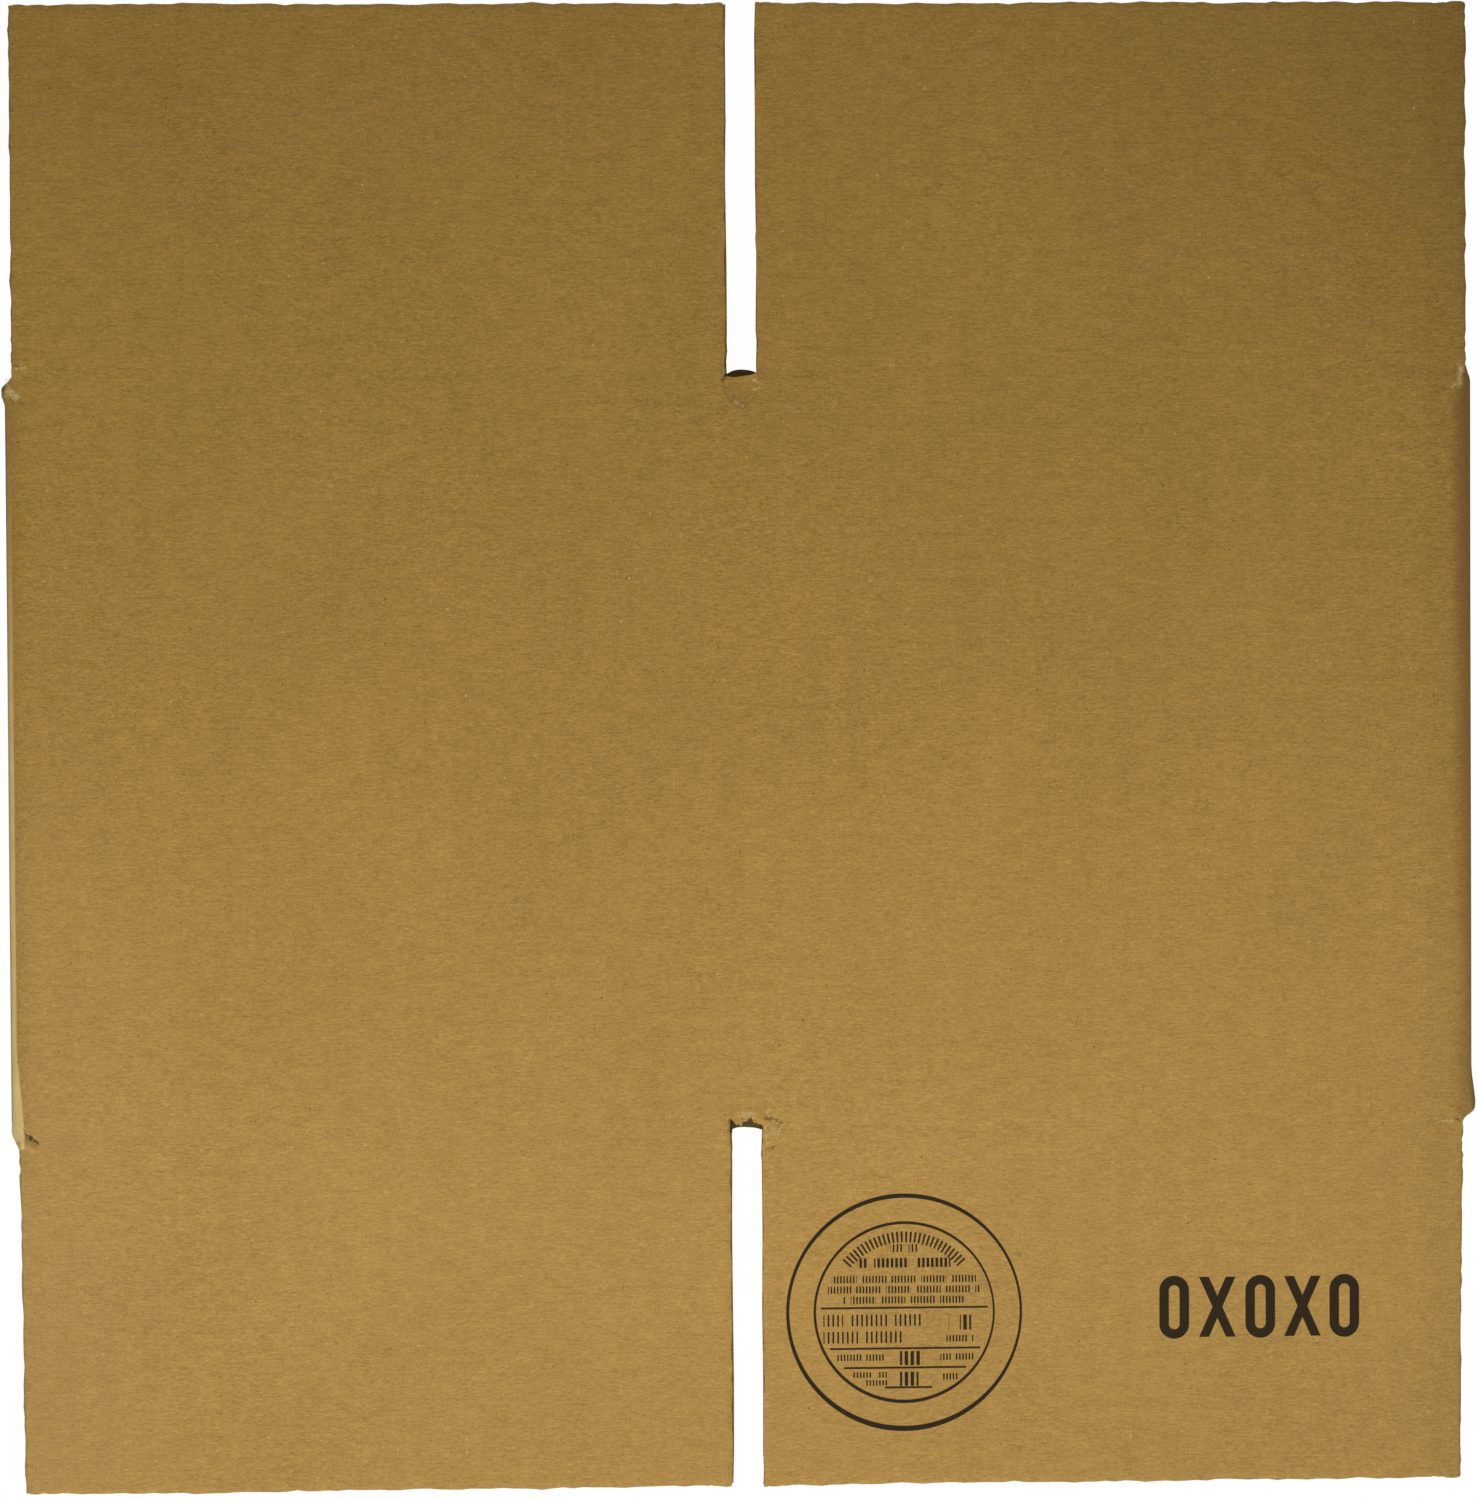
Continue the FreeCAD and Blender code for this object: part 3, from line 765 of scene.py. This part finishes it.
def printed_paper(name, inked=False, worn_and_shaded=False):
    # the printed face: brown paper with specks, painted light and shade, scars at the cuts and
    # folds with painted shade and highlights, and ink on top
    paint = Paint(name, 0.88)
    # painted light and shade laid over the paper
    colour = painted_lighting(paint, paper_colour(paint, kraft_warm, kraft_pale))
    if worn_and_shaded:
        wavy_x = paint.x + (paint.speckle(0.9) - 0.5) * 1.6
        wavy_y = paint.y + (paint.speckle(1.1) - 0.5) * 1.6
        broken = paint.range(paint.speckle(1.7, detail=3.0), 0.30, 0.50)
        # the dark lines are painted shade in cracks, the pale ones torn fibre with painted
        # highlights
        for x, y, angle, length, width, share, shade in scars:
            shown = scar(wavy_x - x, wavy_y - y, angle, length, width)
            whole = shade == crevice_shade
            colour = paint.mix(shown * share * (1 if whole else broken), colour, (*shade, 1))
    dark = paint.range(0 - paint.speckle(1.2, (1, 0.8, 1), detail=0.0), -0.16, -0.135)
    colour = paint.mix(dark * 0.55, colour, dark_speck)
    light = paint.range(paint.speckle(1.1, detail=0.0), 0.84, 0.87)
    colour = paint.mix(light * 0.45, colour, pale_speck)
    if inked:
        shown = stamp(paint, paint.x - stamp_x, paint.y - stamp_y)
        shown = shown.most(size_mark(paint, paint.x - mark_x, paint.y - mark_y))
        face_up = paint.z > middle + board - 1.5
        rubbed = paint.range(paint.speckle(2.2, detail=3.0), 0.28, 0.42) * 0.07 + 0.92
        colour = paint.mix(shown * face_up * rubbed, colour, ink)
    paint.tree.links.new(colour, paint.shader.inputs["Base Color"])
    rough = paint.speckle(1.4, (0.4, 1.5, 1), detail=4.0, rough=0.7)
    bump = paint.node(
        "ShaderNodeBump", {}, {"Strength": 0.35, "Distance": 0.00012, "Height": rough},
    )
    paint.tree.links.new(bump.outputs[0], paint.shader.inputs["Normal"])
    return paint.material


plain_kraft = plain_paper("plain kraft", kraft_warm, kraft_pale)
flute_paper = plain_paper("flute paper", flute_warm, flute_pale)
torn_paper = plain_paper("torn paper", torn_warm, torn_pale)

# the same paper all over the printed side, with ink on one flap, and scars with painted shade
# and highlights at the folds' ends
stamp_reach = 29
mark_reach_x, mark_reach_y = 25, 10
scar_reach, slot_scars, fold_scars = 10, 13, 143
for coat in (
    printed_paper("clear kraft"),
    printed_paper("inked kraft", inked=True),
    printed_paper("worn kraft", worn_and_shaded=True),
):
    front_liner.data.materials.append(coat)
centres = np.empty(len(front_liner.data.polygons) * 3)
front_liner.data.polygons.foreach_get("center", centres)
place_x, place_y, _ = centres.reshape(-1, 3).T * 1000
inked = np.hypot(place_x - stamp_x, place_y - stamp_y) < stamp_reach
inked |= (np.abs(place_x - mark_x) < mark_reach_x) & (np.abs(place_y - mark_y) < mark_reach_y)
worn_and_shaded = (np.abs(place_x) < slot_scars) | (np.abs(place_x) > fold_scars)
worn_and_shaded &= np.abs(np.abs(place_y) - score) < scar_reach
front_liner.data.polygons.foreach_set("material_index", (inked + 2 * worn_and_shaded).astype(np.int32))
for piece in (front_lining, back_lining, back_liner, glue_tab):
    piece.data.materials.append(plain_kraft)
for piece in (front_flutes, back_flutes):
    piece.data.materials.append(flute_paper)
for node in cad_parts.values():
    node.data.materials.clear()
    node.data.materials.append(plain_kraft)


# Torn fibres: short curled hairs of paper that stand at the slot ends and at the folds' ends.
# One hair is drawn, then set at every point with its own turn and size.

hair_radius = 0.055
smallest_hair = 0.4


def spots(seed, *places):
    # points scattered about each (x, y, z, spread x, spread y, count)
    dice = np.random.default_rng(seed)
    found = []
    for x, y, z, wide, deep, count in places:
        offset = dice.uniform(-1, 1, (count, 2))
        found += [(x + wide * a, y + deep * b, z) for a, b in offset]
    return [(x / 1000, y / 1000, z / 1000) for x, y, z in found]


def hair_nodes():
    # geometry nodes that set one curled hair at every point of a mesh
    tree = bpy.data.node_groups.new("torn hairs", "GeometryNodeTree")
    tree.interface.new_socket("Points", in_out="INPUT", socket_type="NodeSocketGeometry")
    length = tree.interface.new_socket("Hair length", in_out="INPUT", socket_type="NodeSocketFloat")
    seed = tree.interface.new_socket("Seed", in_out="INPUT", socket_type="NodeSocketInt")
    coat = tree.interface.new_socket("Paper", in_out="INPUT", socket_type="NodeSocketMaterial")
    tree.interface.new_socket("Hairs", in_out="OUTPUT", socket_type="NodeSocketGeometry")
    names = {"length": length.identifier, "seed": seed.identifier, "paper": coat.identifier}

    def node(kind, **values):
        made = tree.nodes.new(kind)
        for key, item in values.items():
            socket = made.inputs[int(key[1:])] if key[1:].isdigit() else made.inputs[key]
            if isinstance(item, bpy.types.NodeSocket):
                tree.links.new(item, socket)
            else:
                socket.default_value = item
        return made

    start = tree.nodes.new("NodeGroupInput")
    stop = tree.nodes.new("NodeGroupOutput")
    hair = node(
        "GeometryNodeCurveQuadraticBezier",
        _0=6, Start=(0, 0, 0), Middle=(0.35, 0.15, 0.35), End=(1, 0, 0.1),
    )
    ring = tree.nodes.new("GeometryNodeCurvePrimitiveCircle")
    ring.inputs["Resolution"].default_value = 5
    ring.inputs["Radius"].default_value = hair_radius
    tube = node("GeometryNodeCurveToMesh", Curve=hair.outputs[0], _1=ring.outputs[0])
    tube.inputs["Fill Caps"].default_value = True
    turn = node("FunctionNodeRandomValue")
    turn.data_type = "FLOAT_VECTOR"
    turn.inputs[0].default_value = (-0.35, -0.5, 0)
    turn.inputs[1].default_value = (0.35, 0.1, 2 * math.pi)
    tree.links.new(start.outputs["Seed"], turn.inputs["Seed"])
    size = node("FunctionNodeRandomValue")
    size.inputs[2].default_value = smallest_hair
    size.inputs[3].default_value = 1.0
    tree.links.new(start.outputs["Seed"], size.inputs["Seed"])
    scaled = tree.nodes.new("ShaderNodeMath")
    scaled.operation = "MULTIPLY"
    tree.links.new(size.outputs[1], scaled.inputs[0])
    tree.links.new(start.outputs["Hair length"], scaled.inputs[1])
    placed = node(
        "GeometryNodeInstanceOnPoints",
        Points=start.outputs["Points"], Instance=tube.outputs[0],
        Rotation=turn.outputs[0], Scale=scaled.outputs[0],
    )
    real = node("GeometryNodeRealizeInstances", _0=placed.outputs[0])
    dressed = node(
        "GeometryNodeSetMaterial", Geometry=real.outputs[0], Material=start.outputs["Paper"],
    )
    tree.links.new(dressed.outputs[0], stop.inputs[0])
    return tree, names


hair_tree, hair_inputs = hair_nodes()


def hairs(name, length, seed, points):
    # one group of torn hairs as a plain mesh
    seeds = bpy.data.meshes.new(name + " points")
    seeds.from_pydata(points, [], [])
    carrier = bpy.data.objects.new(name + " points", seeds)
    bpy.context.scene.collection.objects.link(carrier)
    grow = carrier.modifiers.new("hairs", "NODES")
    grow.node_group = hair_tree
    grow[hair_inputs["length"]] = length / 1000
    grow[hair_inputs["seed"]] = seed
    grow[hair_inputs["paper"]] = torn_paper
    grown = carrier.evaluated_get(bpy.context.evaluated_depsgraph_get())
    mesh = bpy.data.meshes.new_from_object(grown)
    bpy.data.objects.remove(carrier)
    return finished(name, mesh)


hairs("slot_hairs", 0.75, 3, spots(
    5, (-3.7, 78.6, top_face - 0.25, 0.3, 0.7, 7), (3.4, 76.8, top_face - 0.1, 0.9, 0.7, 9),
    (0.2, -78.6, top_face - 0.3, 3.2, 0.5, 26), (4.4, -77.3, top_face - 0.1, 0.4, 1.0, 9),
    (4.6, -80.6, top_face - 0.2, 0.5, 1.2, 8), (-3.6, -80.4, top_face - 0.25, 0.4, 0.8, 6),
))
hairs("fold_hairs", 0.9, 8, spots(
    11, (-153.4, 76.8, top_face - 1.7, 0.7, 1.9, 22), (152.6, 77.8, top_face - 1.5, 0.7, 1.6, 18),
    (-152.6, -79.5, top_face - 1.4, 0.8, 1.4, 8), (153.0, -78.5, top_face - 1.7, 0.8, 1.0, 8),
))


# The table: a wide sheet of matt white card that the box lies on. It takes the soft shadow
# beside the box, and elsewhere it is plain white to the camera.

table = bpy.data.meshes.new("table")
reach = 3.0
corners = [(-reach, -reach, 0), (reach, -reach, 0), (reach, reach, 0), (-reach, reach, 0)]
table.from_pydata(corners, [], [(0, 1, 2, 3)])
floor = bpy.data.objects.new("table", table)
bpy.context.scene.collection.objects.link(floor)
floor_paint = Paint("white table", 0.95)
floor_paint.shader.inputs["Base Color"].default_value = (0.8, 0.8, 0.8, 1)
glow = floor_paint.node("ShaderNodeEmission", {}, {"Color": (1, 1, 1, 1), "Strength": 1.0})
ray = floor_paint.node("ShaderNodeLightPath", {}, {})
seen = Value(floor_paint, ray.outputs["Is Camera Ray"])
seen = seen.most(Value(floor_paint, ray.outputs["Is Glossy Ray"]))
blend = floor_paint.node("ShaderNodeMixShader", {}, {0: seen * 0.985})
floor_paint.tree.links.new(floor_paint.shader.outputs[0], blend.inputs[1])
floor_paint.tree.links.new(glow.outputs[0], blend.inputs[2])
out = next(n for n in floor_paint.tree.nodes if n.type == "OUTPUT_MATERIAL")
floor_paint.tree.links.new(blend.outputs[0], out.inputs[0])
floor.data.materials.append(floor_paint.material)


# The light: one broad lamp beyond the lower edge, a little to the left, so the printed end is
# the brightest, and a soft, slightly warm room all round.


def lamp(name, place, aim, size, power):
    # a square soft lamp that points at aim
    data = bpy.data.lights.new(name, "AREA")
    data.energy = power
    data.size = size
    holder = bpy.data.objects.new(name, data)
    holder.location = place
    holder.rotation_euler = (Vector(aim) - Vector(place)).to_track_quat("-Z", "Y").to_euler()
    bpy.context.scene.collection.objects.link(holder)


lamp("lower lamp", (-0.07, -0.47, 0.60), (-0.01, -0.10, 0), 0.35, 4.0)
room = bpy.data.worlds.new("room")
bpy.context.scene.world = room
room.use_nodes = True
room.node_tree.nodes["Background"].inputs["Color"].default_value = (1, 0.985, 0.93, 1)
room.node_tree.nodes["Background"].inputs["Strength"].default_value = 0.42


# The camera: almost straight above the box and a little to the upper left, with a long lens
# that keeps the outline nearly square.

eye = bpy.data.cameras.new("camera")
eye.lens = 146.7
camera = bpy.data.objects.new("camera", eye)
camera.location = (-0.0574, 0.0466, 1.2972)
camera.rotation_euler = (-0.03627, -0.04382, -0.00559)
bpy.context.scene.collection.objects.link(camera)
bpy.context.scene.camera = camera
bpy.context.scene.view_settings.view_transform = "Standard"
